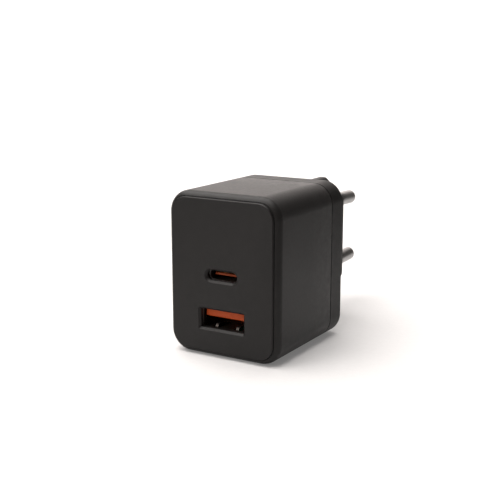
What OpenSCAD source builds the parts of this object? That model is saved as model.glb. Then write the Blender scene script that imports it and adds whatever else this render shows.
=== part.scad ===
// Two-port wall charger with a fixed two-pin plug.
// The origin is the middle of the plug's engagement face, the flat end that the
// two pins stand out of. +Y points into the wall socket, +Z is up, +X is right.
// Every piece is drawn "on the bench": its own Z is the distance in front of the
// engagement face, its own Y is height, and stand() turns that into the frame.

/* [Body] */
// Width of the body
body_w = 31.5; // [30:0.5:40]
// Height of the body
body_h = 41; // [40:0.5:50]
// Depth of the body, port plate to back of the rear cover
body_d = 34.5; // [34.5:0.5:40]
// Radius of the four long edges
corner_r = 5.5; // [5.5:0.25:7]
// Radius of the rounding round the front rim
front_r = 2.2; // [2:0.1:3.5]
// Radius of the rounding round the back edge
rear_r = 0.6; // [0.5:0.1:2]
// Depth of the rear cover, back to seam
cover_d = 6.35; // [6:0.05:7]
// Wall thickness of the two casings
wall = 1.6; // [1.4:0.1:1.8]
// How far the middle of the plug is above the middle of the body
plug_rise = 1.35; // [0:0.05:2]

/* [Plug] */
// Width of the plug stalk
stalk_w = 13.5; // [13:0.1:13.7]
// Height of the plug stalk, point to point
stalk_h = 33.9; // [33:0.1:36]
// Length of the stalk's straight sides
stalk_flat = 23; // [22:0.1:24]
// Depth of the stalk, rear cover to engagement face
stalk_d = 19.5; // [18:0.5:24]
// Diameter of the bare contact end of a pin
pin_d = 4; // [3.9:0.05:4]
// Diameter of the insulating sleeve on a pin
sleeve_d = 3.6; // [3.5:0.05:3.7]
// Length of the sleeve, from the engagement face
sleeve_l = 10; // [9.5:0.1:10]
// Length of a pin, from the engagement face
pin_l = 19; // [18.5:0.1:19.5]
// Distance between the pins at the engagement face
pin_pitch_base = 18.6; // [18:0.1:19]
// Distance between the pins at their tips
pin_pitch_tip = 17.5; // [17.3:0.1:18]

/* [Ports] */
// Height of the lower port's middle above the bottom of the body
usb_a_up = 9.7; // [9.5:0.1:10.5]
// Height of the upper port's middle above the bottom of the body
usb_c_up = 20.8; // [20.5:0.1:22]
// Opening in the port plate for the lower port
usb_a_open = [13.5, 5.85];
// Opening in the port plate for the upper port
usb_c_open = [9.5, 3.6];
// Thickness of the port plate
plate_t = 1.5; // [1.2:0.1:1.6]

/* [Hidden] */

mid_y = -plug_rise;                       // height of the body's middle
bot_y = mid_y - body_h / 2;               // height of the body's bottom
z_back = stalk_d;                         // back face of the rear cover
z_seam = z_back + cover_d;                // seam between the casings
z_front = z_back + body_d;                // outer face of the port plate
rim_drop = 0.55;                          // the rim's crest lies behind the plate
z_crest = z_front - rim_drop;
crest_in = 1.22;                          // crest line, inward from the side
plate_in = 1.35;                          // port plate's side, inward from the side
bevel = 0.45;                             // bevel round the port plate
z_ledge = z_front - plate_t;              // ledge that the plate sits on
seam_gap = 0.2;
bore_r = 1.5;                             // pin core under the sleeve
sleeve_in = 1.2;                          // sleeves start this far inside the stalk
tilt = atan((pin_pitch_base - pin_pitch_tip) / 2 / pin_l);
usb_a_y = bot_y + usb_a_up;
usb_c_y = bot_y + usb_c_up;
shell_t = 0.3;
usb_a_in = [12.5, 5.12];                  // clear opening of the lower port's shell
usb_c_in = [8.34, 2.56];                  // clear opening of the upper port's shell
port_bevel = 0.55;                        // lead-in round both openings
z_shell = z_ledge - 0.2;                  // front edge of the lower port's shell
z_shell_c = z_ledge - 0.2;                // front edge of the upper port's shell
board_t = 1.2;
z_main = 24.0;                            // main board, plug side
z_port = z_main + 16;                     // port board, plug side
z_port_f = z_port + board_t;              // port board, front side
z_sheet = z_port - 0.75;

// ---------- shared shapes ----------

module stand() { rotate([90, 0, 0]) children(); }

// one rounded corner as a sector: p corner, a and b its neighbours
function unit(v) = v / norm(v);
function corner_t(p, a, b, r) = r / tan(acos(unit(a - p) * unit(b - p)) / 2);
function corner_1(p, a, b, r) = p + unit(a - p) * corner_t(p, a, b, r);
function corner_2(p, a, b, r) = p + unit(b - p) * corner_t(p, a, b, r);
function corner_c(p, a, b, r) = p + unit(unit(a - p) + unit(b - p)) * r / sin(acos(unit(a - p) * unit(b - p)) / 2);

// polygon with a true arc at every corner; rs gives each corner's radius
module rounded_polygon(ps, rs) {
  n = len(ps);
  polygon([for (i = [0:n - 1]) let (p = ps[i], a = ps[(i + n - 1) % n], b = ps[(i + 1) % n])
    each [corner_1(p, a, b, rs[i]), corner_2(p, a, b, rs[i])]]);
  for (i = [0:n - 1]) {
    p = ps[i]; a = ps[(i + n - 1) % n]; b = ps[(i + 1) % n];
    c = corner_c(p, a, b, rs[i]);
    t1 = corner_1(p, a, b, rs[i]); t2 = corner_2(p, a, b, rs[i]);
    far = 1.6;
    intersection() {
      translate(c) circle(r = rs[i], $fn = 96);
      polygon([c, c + far * (t1 - c), c + far * 1.4 * (p - c), c + far * (t2 - c)]);
    }
  }
}

module rounded_rect(w, h, r) {
  rounded_polygon([[w / 2, h / 2], [-w / 2, h / 2], [-w / 2, -h / 2], [w / 2, -h / 2]], [r, r, r, r]);
}

module rounded_box(w, h, r, z0, z1) {
  translate([0, 0, z0]) linear_extrude(height = z1 - z0) rounded_rect(w, h, r);
}

module block(w, h, z0, z1) {
  translate([-w / 2, -h / 2, z0]) cube([w, h, z1 - z0]);
}

// sweeps a profile (x outward from 0 to r, y along the depth) round a rounded rectangle
module swept_rim(w, h, r, z0, z1) {
  for (c = [[1, 1, 0], [-1, 1, 90], [-1, -1, 180], [1, -1, 270]])
    translate([c[0] * (w / 2 - r), c[1] * (h / 2 - r), 0]) rotate([0, 0, c[2]])
      rotate_extrude(angle = 90, $fn = 96) children();
  for (s = [1, -1]) {
    translate([s * (w / 2 - r), s * (h / 2 - r), 0]) rotate([0, 0, s > 0 ? 0 : 180])
      rotate([90, 0, 0]) linear_extrude(height = h - 2 * r) children();
    translate([-s * (w / 2 - r), s * (h / 2 - r), 0]) rotate([0, 0, s > 0 ? 90 : 270])
      rotate([90, 0, 0]) linear_extrude(height = w - 2 * r) children();
  }
  translate([-(w / 2 - r), -(h / 2 - r), z0]) cube([w - 2 * r, h - 2 * r, z1 - z0]);
}

// profile with one corner rounded at its outer front
module front_profile(r, rf, z0, z1) {
  translate([0, z0]) square([r, z1 - z0 - rf]);
  translate([0, z1 - rf]) square([r - rf, rf]);
  intersection() {
    translate([r - rf, z1 - rf]) circle(r = rf, $fn = 96);
    translate([r - rf, z1 - rf]) square([rf * 1.2, rf * 1.2]);
  }
}

module rear_profile(r, rr, z0, z1) {
  translate([0, z0 + rr]) square([r, z1 - z0 - rr]);
  translate([0, z0]) square([r - rr, rr]);
  intersection() {
    translate([r - rr, z0 + rr]) circle(r = rr, $fn = 64);
    translate([r - rr, z0 - rr * 0.2]) square([rr * 1.2, rr * 1.2]);
  }
}

module at_body() { translate([0, mid_y, 0]) children(); }

// the plug stalk's outline, smaller all round by d
module stalk_outline(d = 0) {
  w = stalk_w / 2 - d;
  f = stalk_flat / 2 - 0.42 * d;
  h = stalk_h / 2 - d;
  e = 1.0 - 0.2 * d;
  rc = max(3.7 - d, 0.8);
  ra = max(1.4 - d * 0.5, 0.4);
  rounded_polygon([[w, f], [e, h], [-e, h], [-w, f], [-w, -f], [-e, -h], [e, -h], [w, -f]],
    [rc, ra, ra, rc, rc, ra, ra, rc]);
}

// places a pin's own axis: +1 upper, -1 lower; its Z runs back into the stalk
module pin_axis(s) {
  translate([0, s * pin_pitch_base / 2, 0]) rotate([-s * tilt, 0, 0]) children();
}

// ---------- casings ----------

// opening in the port plate, with a bevelled lead-in at the front
module port_cut(w, h, r) {
  swept_rim(w, h, r, z_ledge - 1, z_front + 1)
    polygon([[0, z_ledge - 1], [r - port_bevel, z_ledge - 1], [r - port_bevel, z_front - port_bevel],
      [r, z_front], [r, z_front + 1], [0, z_front + 1]]);
}

module front_panel() {
  r = corner_r - plate_in;
  w = body_w - 2 * plate_in;
  h = body_h - 2 * plate_in;
  color([0.19, 0.19, 0.20]) stand() difference() {
    union() {
      at_body() swept_rim(w, h, r, z_ledge, z_front)
        polygon([[0, z_ledge], [r, z_ledge], [r, z_front - bevel], [r - bevel, z_front], [0, z_front]]);
      at_body() rounded_box(body_w - 5.4, body_h - 5.4, corner_r - 2.7, z_ledge - 1.2, z_ledge + 0.2);
    }
    at_body() rounded_box(body_w - 7.2, body_h - 7.2, corner_r - 3.6, z_ledge - 2, z_ledge);
    translate([0, usb_a_y, 0]) port_cut(usb_a_open[0], usb_a_open[1], port_bevel + 0.1);
    translate([0, usb_c_y, 0]) port_cut(usb_c_open[0], usb_c_open[1], usb_c_open[1] / 2 - 0.05);
  }
}

module main_housing() {
  z_lo = z_seam + seam_gap / 2;
  // the crest lies where the rim's rounding reaches crest_in, so the full
  // rounding ends a little further forward and the plate's opening cuts it off
  z_full = z_crest + front_r - sqrt(front_r * front_r - (front_r - crest_in) * (front_r - crest_in));
  color([0.19, 0.19, 0.20]) stand() {
    difference() {
      at_body() swept_rim(body_w, body_h, corner_r, z_lo, z_full)
        front_profile(corner_r, front_r, z_lo, z_full);
      // main cavity
      at_body() rounded_box(body_w - 2 * wall, body_h - 2 * wall, corner_r - wall, z_lo - 1, z_ledge - 1.3);
      // opening inside the ledge
      at_body() rounded_box(body_w - 5.2, body_h - 5.2, corner_r - 2.6, z_ledge - 2, z_ledge + 1);
      // pocket for the port plate
      at_body() rounded_box(body_w - 2 * crest_in, body_h - 2 * crest_in, corner_r - crest_in, z_ledge, z_full + 1);
    }
    // ribs that the port board stops against
    for (s = [-1, 1]) for (y = [mid_y - 11, mid_y + 11])
      translate([s * (body_w / 2 - wall - 0.5), y, 0]) block(1.4, 1.2, z_port_f, z_ledge - 1.2);
  }
}

module rear_cover() {
  z_hi = z_seam - seam_gap / 2;
  color([0.19, 0.19, 0.20]) stand() difference() {
    union() {
      at_body() swept_rim(body_w, body_h, corner_r, z_back, z_hi)
        rear_profile(corner_r, rear_r, z_back, z_hi);
      // shoulder that meets the housing, inside the open seam
      at_body() rounded_box(body_w - 1.4, body_h - 1.4, corner_r - 0.7, z_back + 2, z_seam + seam_gap / 2);
      // spigot inside the housing
      at_body() rounded_box(body_w - 2 * wall - 0.2, body_h - 2 * wall - 0.2, corner_r - wall - 0.1, z_back + 2, z_seam + 2);
      // stalk
      linear_extrude(height = z_back + 1) stalk_outline();
    }
    at_body() rounded_box(body_w - 2 * wall - 2, body_h - 2 * wall - 2, corner_r - wall - 1, z_back + 1.8, z_seam + 3);
    translate([0, 0, 2.2]) linear_extrude(height = z_back) stalk_outline(1.5);
    // each pin's bore, wider at the face for the end of its sleeve
    for (s = [-1, 1]) pin_axis(s) {
      translate([0, 0, -2]) cylinder(r = bore_r, h = 8, $fn = 48);
      translate([0, 0, -2]) cylinder(r = sleeve_d / 2 + 0.07, h = 2 + sleeve_in, $fn = 64);
    }
  }
}

module pin_carrier() {
  color([0.85, 0.84, 0.80]) stand() difference() {
    union() {
      translate([0, 0, 2.2]) linear_extrude(height = 4) stalk_outline(1.65);
      block(3, 6, 6.2, 12);
    }
    for (s = [-1, 1]) pin_axis(s) translate([0, 0, -2]) cylinder(r = bore_r, h = 14, $fn = 48);
  }
}

// ---------- plug ----------

module pin(s) {
  r = pin_d / 2;
  tip = 1.4;
  color([0.80, 0.80, 0.78]) stand() pin_axis(s) rotate_extrude($fn = 64) union() {
    translate([0, -sleeve_l]) square([bore_r, sleeve_l + 7]);
    translate([0, -pin_l + tip]) square([r, pin_l - tip - sleeve_l]);
    translate([0, -pin_l]) square([r - tip, tip + 0.5]);
    intersection() {
      translate([r - tip, -pin_l + tip]) circle(r = tip, $fn = 64);
      translate([r - tip, -pin_l - 0.5]) square([tip * 1.3, tip + 0.5]);
    }
    translate([0, 6.4]) square([2.3, 0.8]);
  }
}
module live_pin() { pin(1); }
module neutral_pin() { pin(-1); }

module pin_sleeve(s) {
  color([0.10, 0.10, 0.11]) stand() pin_axis(s) difference() {
    translate([0, 0, -sleeve_l]) cylinder(d = sleeve_d, h = sleeve_l + sleeve_in, $fn = 64);
    translate([0, 0, -sleeve_l - 1]) cylinder(r = bore_r, h = sleeve_l + 2, $fn = 48);
  }
}
module live_pin_sleeve() { pin_sleeve(1); }
module neutral_pin_sleeve() { pin_sleeve(-1); }

module contact_strip(s) {
  y = s * (pin_pitch_base / 2 + 0.1);
  color([0.72, 0.45, 0.20]) stand() translate([0, y, 0]) union() {
    block(3.2, 3.4, 7.3, 7.6);
    translate([1.45, 0, 0]) block(0.3, 2.6, 7.3, z_main - 0.3);
    translate([0, 0, 0]) block(3.2, 2.6, z_main - 0.3, z_main);
  }
}
module live_contact_strip() { contact_strip(1); }
module neutral_contact_strip() { contact_strip(-1); }

// ---------- ports ----------

module slot_tube(size, r, t, z0, z1) {
  difference() {
    rounded_box(size[0] + 2 * t, size[1] + 2 * t, r + t, z0, z1);
    rounded_box(size[0], size[1], r, z0 - 1, z1 + 1);
  }
}

module usb_a_shell() {
  color([0.75, 0.75, 0.76]) stand() translate([0, usb_a_y, 0]) {
    difference() {
      slot_tube(usb_a_in, 0.35, shell_t, z_port_f, z_shell);
      // windows that the spring fingers are cut from
      for (x = [-3, 3]) for (s = [-1, 1])
        translate([x, s * (usb_a_in[1] / 2 + shell_t / 2), 0]) block(2, 1, z_shell - 6.6, z_shell - 0.9);
    }
    // spring fingers, rooted at the back of each window
    for (x = [-3, 3]) translate([x, -usb_a_in[1] / 2 - shell_t, 0])
      translate([-0.7, 0, z_shell - 6.7]) cube([1.4, 0.3, 5.5]);
    // legs through the port board
    for (x = [-1, 1]) for (y = [-1, 1])
      translate([x * (usb_a_in[0] / 2 + 0.15), y * 1.6, 0]) block(0.3, 0.9, z_port - 0.4, z_port_f + 0.1);
  }
}

module usb_a_insulator() {
  color([0.90, 0.38, 0.10]) stand() translate([0, usb_a_y, 0]) difference() {
    union() {
      block(usb_a_in[0] - 0.8, usb_a_in[1] - 0.1, z_port_f, z_port_f + 2.4);
      translate([0, 1.0, 0]) rounded_box(11.9, 1.85, 0.3, z_port_f + 2, z_shell - 0.7);
    }
    for (x = [-3.5, -1, 1, 3.5]) translate([x, 0.15, 0]) block(1.1, 0.4, z_port_f - 1, z_shell - 1.3);
  }
}

module usb_a_contacts() {
  color([0.85, 0.68, 0.30]) stand() for (x = [-3.5, -1, 1, 3.5]) translate([x, usb_a_y, 0]) {
    translate([0, 0.13, 0]) block(1.0, 0.3, z_port_f, z_shell - 1.4);
  }
}

module usb_c_shell() {
  color([0.78, 0.78, 0.79]) stand() translate([0, usb_c_y, 0]) {
    slot_tube(usb_c_in, usb_c_in[1] / 2 - 0.02, shell_t, z_port_f, z_shell_c);
    for (x = [-1, 1]) for (y = [-1, 1])
      translate([x * 3.0, y * (usb_c_in[1] / 2 + 0.15), 0]) block(1.0, 0.3, z_port - 0.4, z_port_f + 0.1);
  }
}

module usb_c_insulator() {
  color([0.90, 0.38, 0.10]) stand() translate([0, usb_c_y, 0]) difference() {
    union() {
      block(6.6, usb_c_in[1] - 0.1, z_port_f, z_port_f + 3.2);
      rounded_box(6.69, 0.7, 0.3, z_port_f + 3, z_shell_c - 0.7);
    }
    for (i = [0:11]) for (s = [-1, 1])
      translate([(i - 5.5) * 0.5, s * 0.3, 0]) block(0.3, 0.14, z_port_f - 1, z_shell_c - 1.4);
  }
}

module usb_c_contacts() {
  color([0.85, 0.68, 0.30]) stand() for (i = [0:11]) for (s = [-1, 1])
    translate([(i - 5.5) * 0.5, usb_c_y + s * 0.3, 0]) block(0.25, 0.1, z_port_f, z_shell_c - 1.5);
}

module port_board() {
  color([0.05, 0.30, 0.16]) stand() difference() {
    at_body() rounded_box(body_w - 2 * wall - 0.6, body_h - 2 * wall - 0.6, corner_r - wall - 0.3, z_port, z_port_f);
    translate([0, usb_a_y, 0]) for (x = [-1, 1]) for (y = [-1, 1])
      translate([x * (usb_a_in[0] / 2 + 0.15), y * 1.6, 0]) block(0.5, 1.1, z_port - 1, z_port_f + 1);
    translate([0, usb_c_y, 0]) for (x = [-1, 1]) for (y = [-1, 1])
      translate([x * 3.0, y * (usb_c_in[1] / 2 + 0.15), 0]) block(1.2, 0.5, z_port - 1, z_port_f + 1);
    translate([-8.0, bot_y + 4.5, 0]) for (i = [-2:2]) translate([i * 1.27, 0, 0]) block(0.6, 0.6, z_port - 1, z_port_f + 1);
  }
}

// small moulded chip: body and two rows of leads, as separate solids
module chip(w, h, t, n, z, up) {
  s = up ? 1 : -1;
  translate([0, 0, z]) mirror([0, 0, up ? 0 : 1]) {
    block(w, h, 0.1, t);
    for (i = [0:n - 1]) for (k = [-1, 1])
      translate([k * (w / 2 + 0.35), (i - (n - 1) / 2) * h / n, 0]) block(0.7, 0.4, 0, 0.9);
  }
}

module port_controller() { color([0.12, 0.12, 0.13]) stand() translate([8.2, usb_c_y + 9, 0]) chip(4, 5, 1.5, 4, z_port_f, true); }

module port_inductor() {
  color([0.35, 0.35, 0.36]) stand() translate([-7.6, usb_c_y + 9, 0]) block(7, 7, z_port_f, z_port_f + 4);
}

module port_capacitor() {
  color([0.75, 0.76, 0.78]) stand() translate([0.9, usb_c_y + 9, z_port_f]) cylinder(d = 6.3, h = 7, $fn = 48);
}

module board_header_pins() {
  color([0.85, 0.70, 0.35]) stand() translate([-8.0, bot_y + 4.5, 0])
    for (i = [-2:2]) translate([i * 1.27, 0, 0]) block(0.5, 0.5, z_main - 0.6, z_port_f + 0.5);
}

module board_header_body() {
  color([0.10, 0.10, 0.11]) stand() translate([-8.0, bot_y + 4.5, 0]) difference() {
    block(7, 2.3, z_main + board_t, z_main + board_t + 8.6);
    for (i = [-2:2]) translate([i * 1.27, 0, 0]) block(0.5, 0.5, z_main, z_port_f);
  }
}

module insulating_sheet() {
  color([0.92, 0.90, 0.70]) stand() difference() {
    at_body() rounded_box(body_w - 2 * wall - 2.4, body_h - 2 * wall - 0.8, corner_r - wall - 0.8, z_sheet, z_sheet + 0.3);
    translate([-8.0, bot_y + 4.5, 0]) block(7.4, 2.4, z_sheet - 1, z_sheet + 1);
  }
}

// ---------- main board ----------

module main_board() {
  color([0.05, 0.30, 0.16]) stand() difference() {
    at_body() rounded_box(body_w - 2 * wall - 2.4, body_h - 2 * wall - 2.4, corner_r - wall - 1.2, z_main, z_main + board_t);
    translate([-8.0, bot_y + 4.5, 0]) for (i = [-2:2]) translate([i * 1.27, 0, 0]) block(0.6, 0.6, z_main - 1, z_main + board_t + 1);
  }
}

z_top = z_main + board_t;                 // main board, component side
tr = [5.3, -2.6];                         // middle of the transformer

module transformer_core() {
  color([0.20, 0.20, 0.22]) stand() translate([tr[0], tr[1], 0]) {
    // two E halves that meet round the bobbin
    for (s = [-1, 1]) {
      translate([0, s * 6.6, 0]) block(13, 2.4, z_top + 1.5, z_top + 12);
      for (x = [-1, 1]) translate([x * 5.6, s * 2.74, 0]) block(1.8, 5.4, z_top + 1.5, z_top + 12);
      translate([0, s * 2.74, 0]) block(3.6, 5.4, z_top + 4.9, z_top + 8.6);
    }
  }
}

module transformer_bobbin() {
  color([0.15, 0.15, 0.16]) stand() translate([tr[0], tr[1], 0]) {
    difference() {
      union() {
        for (s = [-1, 1]) translate([0, s * 4.7, 0]) block(9, 1.0, z_top + 1.0, z_top + 12.4);
        block(4.8, 10.4, z_top + 4.2, z_top + 9.3);
      }
      block(3.7, 14, z_top + 4.85, z_top + 8.65);
    }
    for (s = [-1, 1]) translate([0, s * 4.9, 0]) {
      block(9, 1.4, z_top + 0.6, z_top + 1.4);
      for (x = [-3.6, -1.2, 1.2, 3.6]) translate([x, 0, 0]) block(0.6, 0.6, z_top, z_top + 0.7);
    }
  }
}

module transformer_winding() {
  color([0.86, 0.78, 0.20]) stand() translate([tr[0], tr[1], 0]) difference() {
    rounded_box(9, 8.2, 0.3, z_top + 1.9, z_top + 11.7);
    block(4.9, 10, z_top + 4.1, z_top + 9.4);
  }
}

module can(d, h, x, y) {
  translate([x, y, z_top]) {
    translate([0, 0, 0.3]) cylinder(d = d, h = h - 0.3, $fn = 64);
    for (s = [-1, 1]) translate([s * d / 4, 0, 0]) cylinder(d = 0.6, h = 0.3, $fn = 16);
  }
}
module bulk_capacitors() {
  color([0.08, 0.10, 0.22]) stand() { can(8, 13, -8.0, 1.9); can(8, 13, -8.0, -6.5); }
}
module output_capacitors() {
  color([0.74, 0.75, 0.78]) stand() { can(6.3, 9.5, 2.2, -15.2); can(6.3, 9.5, 8.9, -15.2); }
}
module filter_capacitor() {
  color([0.80, 0.66, 0.16]) stand() translate([-7.2, 10.6, 0]) {
    block(9.5, 5, z_top + 0.3, z_top + 10);
    for (x = [-3.6, 3.6]) translate([x, 0, 0]) block(0.6, 0.6, z_top, z_top + 0.3);
  }
}
module safety_capacitor() {
  color([0.10, 0.35, 0.65]) stand() translate([-8.2, -13.2, z_top + 4.6]) {
    rotate([90, 0, 0]) translate([0, 0, -1.3]) cylinder(d = 7, h = 2.6, $fn = 48);
    for (x = [-2.2, 2.2]) translate([x, 0, 0]) block(0.5, 0.5, -4.6, -2.3);
  }
}
module choke_core() {
  color([0.15, 0.35, 0.20]) stand() translate([3.2, 11.4, z_top + 1]) difference() {
    cylinder(d = 7.6, h = 3.4, $fn = 64);
    translate([0, 0, -1]) cylinder(d = 4.2, h = 6, $fn = 48);
  }
}
module choke_winding() {
  // two banks of wire, each a row of loops round the ring's section
  color([0.80, 0.42, 0.16]) stand() translate([3.2, 11.4, z_top + 1])
    for (k = [0, 180]) for (i = [-3:3]) rotate([0, 0, k + i * 19]) translate([2.95, 0, 1.7])
      difference() {
        cube([2.7, 0.46, 4.4], center = true);
        cube([1.74, 1, 3.44], center = true);
      }
}
module fuse() {
  color([0.55, 0.36, 0.16]) stand() translate([10.4, 12.0, 0]) {
    translate([0, 0, z_top + 0.4]) cylinder(d = 4.2, h = 8, $fn = 48);
    for (s = [-1, 1]) translate([0, s * 1.2, z_top]) cylinder(d = 0.6, h = 0.4, $fn = 16);
  }
}
module bridge_rectifier() { color([0.12, 0.12, 0.13]) stand() translate([6.6, 2.6, 0]) chip(5, 6, 1.6, 2, z_main, false); }
module primary_controller() { color([0.12, 0.12, 0.13]) stand() translate([-7.2, 4.6, 0]) chip(4, 5, 1.6, 4, z_main, false); }
module sync_rectifier() { color([0.12, 0.12, 0.13]) stand() translate([6.6, -13.4, 0]) chip(4, 5, 1.6, 4, z_main, false); }
module optocoupler() { color([0.12, 0.12, 0.13]) stand() translate([-6.4, -7.4, 0]) chip(4.4, 4, 2.0, 2, z_main, false); }

module heat_spreader() {
  color([0.72, 0.73, 0.74]) stand() translate([body_w / 2 - wall - 0.45, tr[1], 0]) union() {
    block(0.8, 20, z_seam + 2.3, z_sheet - 0.4);
  }
}
module thermal_pad() {
  x0 = tr[0] + 6.5; x1 = body_w / 2 - wall - 0.85;
  color([0.60, 0.66, 0.74]) stand() translate([(x0 + x1) / 2, tr[1], 0]) block(x1 - x0, 10, z_seam + 3, z_top + 11.5);
}

front_panel();
main_housing();
rear_cover();
pin_carrier();
live_pin();
neutral_pin();
live_pin_sleeve();
neutral_pin_sleeve();
live_contact_strip();
neutral_contact_strip();
usb_a_shell();
usb_a_insulator();
usb_a_contacts();
usb_c_shell();
usb_c_insulator();
usb_c_contacts();
port_board();
port_controller();
port_inductor();
port_capacitor();
board_header_pins();
board_header_body();
insulating_sheet();
main_board();
transformer_core();
transformer_bobbin();
transformer_winding();
bulk_capacitors();
output_capacitors();
filter_capacitor();
safety_capacitor();
choke_core();
choke_winding();
fuse();
bridge_rectifier();
primary_controller();
sync_rectifier();
optocoupler();
heat_spreader();
thermal_pad();
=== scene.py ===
import math
import bpy
import bmesh
from mathutils import Vector, Matrix


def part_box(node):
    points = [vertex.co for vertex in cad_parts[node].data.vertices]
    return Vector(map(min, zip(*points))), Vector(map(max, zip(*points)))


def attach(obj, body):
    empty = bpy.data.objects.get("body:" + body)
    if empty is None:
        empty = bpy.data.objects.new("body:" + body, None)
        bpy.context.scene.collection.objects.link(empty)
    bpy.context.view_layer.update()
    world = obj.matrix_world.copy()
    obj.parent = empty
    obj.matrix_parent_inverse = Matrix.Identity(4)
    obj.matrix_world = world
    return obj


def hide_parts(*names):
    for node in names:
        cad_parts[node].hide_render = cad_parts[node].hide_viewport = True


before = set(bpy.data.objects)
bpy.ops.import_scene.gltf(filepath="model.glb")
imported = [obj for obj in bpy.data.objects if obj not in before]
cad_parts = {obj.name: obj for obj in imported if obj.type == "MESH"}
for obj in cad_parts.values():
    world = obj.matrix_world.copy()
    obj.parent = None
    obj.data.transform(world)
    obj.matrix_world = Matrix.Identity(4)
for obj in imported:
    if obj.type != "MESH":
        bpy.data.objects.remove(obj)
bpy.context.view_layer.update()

scene = bpy.context.scene
MM = 0.001

# ---------------------------------------------------------------------------
# Sizes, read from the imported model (in millimetres, "bench" directions:
# x right, y height, z distance in front of the plug's engagement face)
# ---------------------------------------------------------------------------


def bench_box(node):
    lo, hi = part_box(node)
    return ((lo.x / MM, lo.z / MM, -hi.y / MM), (hi.x / MM, hi.z / MM, -lo.y / MM))


H_LO, H_HI = bench_box("main_housing")
R_LO, R_HI = bench_box("rear_cover")
P_LO, P_HI = bench_box("front_panel")
BODY_W = H_HI[0] - H_LO[0]
BODY_H = H_HI[1] - H_LO[1]
MID_Y = (H_HI[1] + H_LO[1]) / 2
Z_CREST = H_HI[2]
Z_FRONT = P_HI[2]
Z_HOUSE = H_LO[2]          # housing's edge at the seam
Z_SPIGOT = R_HI[2]         # end of the rear cover's spigot
Z_SEAM = Z_SPIGOT - 2.0
Z_BACK = 19.5              # back face of the rear cover
A_LO, A_HI = bench_box("usb_a_shell")
C_LO, C_HI = bench_box("usb_c_shell")
A_Y = (A_LO[1] + A_HI[1]) / 2
C_Y = (C_LO[1] + C_HI[1]) / 2
Z_LEDGE = P_LO[2] + 1.2
CORNER_R = 5.5
FRONT_R = 2.2
REAR_R = 0.6
WALL = 1.6
CREST_IN = 1.22
PLATE_IN = 1.35
BEVEL = 0.45
A_OPEN = (13.5, 5.85)
C_OPEN = (9.5, 3.6)
PORT_BEVEL = 0.55
STALK = dict(w=13.5, h=33.9, flat=23.0)
PIN_PITCH = 18.6
TILT = math.atan((18.6 - 17.5) / 2 / 19.0)

# ---------------------------------------------------------------------------
# Mesh helpers
# ---------------------------------------------------------------------------


def P(x, y, z):
    """A bench point as a point in the frame, in metres."""
    return Vector((x * MM, -z * MM, y * MM))


def arc(cx, cy, r, a0, a1, n):
    return [(cx + r * math.cos(math.radians(a0 + (a1 - a0) * i / n)),
             cy + r * math.sin(math.radians(a0 + (a1 - a0) * i / n))) for i in range(n + 1)]


def round_path(pts, radii, closed=True, seg=5):
    """Rounds the corners of a 2D path. Returns points, each with a flag that is 1 on a rounding."""
    out, n = [], len(pts)
    for i in range(n):
        p = Vector(pts[i])
        r = radii[i]
        if (not closed and i in (0, n - 1)) or r <= 0:
            out.append((p.x, p.y, 0.0))
            continue
        a, b = Vector(pts[i - 1]), Vector(pts[(i + 1) % n])
        ua, ub = (a - p).normalized(), (b - p).normalized()
        cosang = max(-1.0, min(1.0, ua.dot(ub)))
        ang = math.acos(cosang)
        if ang > math.pi - 0.02:
            out.append((p.x, p.y, 0.0))
            continue
        t = r / math.tan(ang / 2)
        t = min(t, 0.49 * (a - p).length, 0.49 * (b - p).length)
        rr = t * math.tan(ang / 2)
        c = p + (ua + ub).normalized() * (rr / math.sin(ang / 2))
        p0, p1 = p + ua * t, p + ub * t
        a0 = math.atan2(p0.y - c.y, p0.x - c.x)
        a1 = math.atan2(p1.y - c.y, p1.x - c.x)
        d = (a1 - a0 + math.pi) % (2 * math.pi) - math.pi
        for k in range(seg + 1):
            th = a0 + d * k / seg
            out.append((c.x + rr * math.cos(th), c.y + rr * math.sin(th), 1.0))
    return out


def rrect(w, h, r, nc=14, nx=4, ny=5):
    """Rounded rectangle, counter-clockwise, always the same number of points."""
    r = max(min(r, w / 2 - 1e-4, h / 2 - 1e-4), 1e-3)
    out = []
    corners = ((w / 2 - r, h / 2 - r, 0), (-w / 2 + r, h / 2 - r, 90),
               (-w / 2 + r, -h / 2 + r, 180), (w / 2 - r, -h / 2 + r, 270))
    for k, (cx, cy, a0) in enumerate(corners):
        pts = arc(cx, cy, r, a0, a0 + 90, nc)
        out += pts
        nxt = corners[(k + 1) % 4]
        q = (nxt[0] + r * math.cos(math.radians(nxt[2])), nxt[1] + r * math.sin(math.radians(nxt[2])))
        n = nx if k % 2 == 0 else ny
        for j in range(1, n):
            t = j / n
            out.append((pts[-1][0] + (q[0] - pts[-1][0]) * t, pts[-1][1] + (q[1] - pts[-1][1]) * t))
    return out


def stalk_ring(d=0.0, seg=6):
    """The stalk's six-sided outline with blunt, rounded corners, smaller all round by d."""
    w, f = STALK["w"] / 2 - d, STALK["flat"] / 2 - 0.42 * d
    h, e = STALK["h"] / 2 - d, 1.0 - 0.2 * d
    rc, ra = max(3.7 - d, 0.8), max(1.4 - 0.5 * d, 0.4)
    pts = [(w, f), (e, h), (-e, h), (-w, f), (-w, -f), (-e, -h), (e, -h), (w, -f)]
    return [(x, y) for x, y, _ in round_path(pts, [rc, ra, ra, rc, rc, ra, ra, rc], True, seg)]


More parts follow.
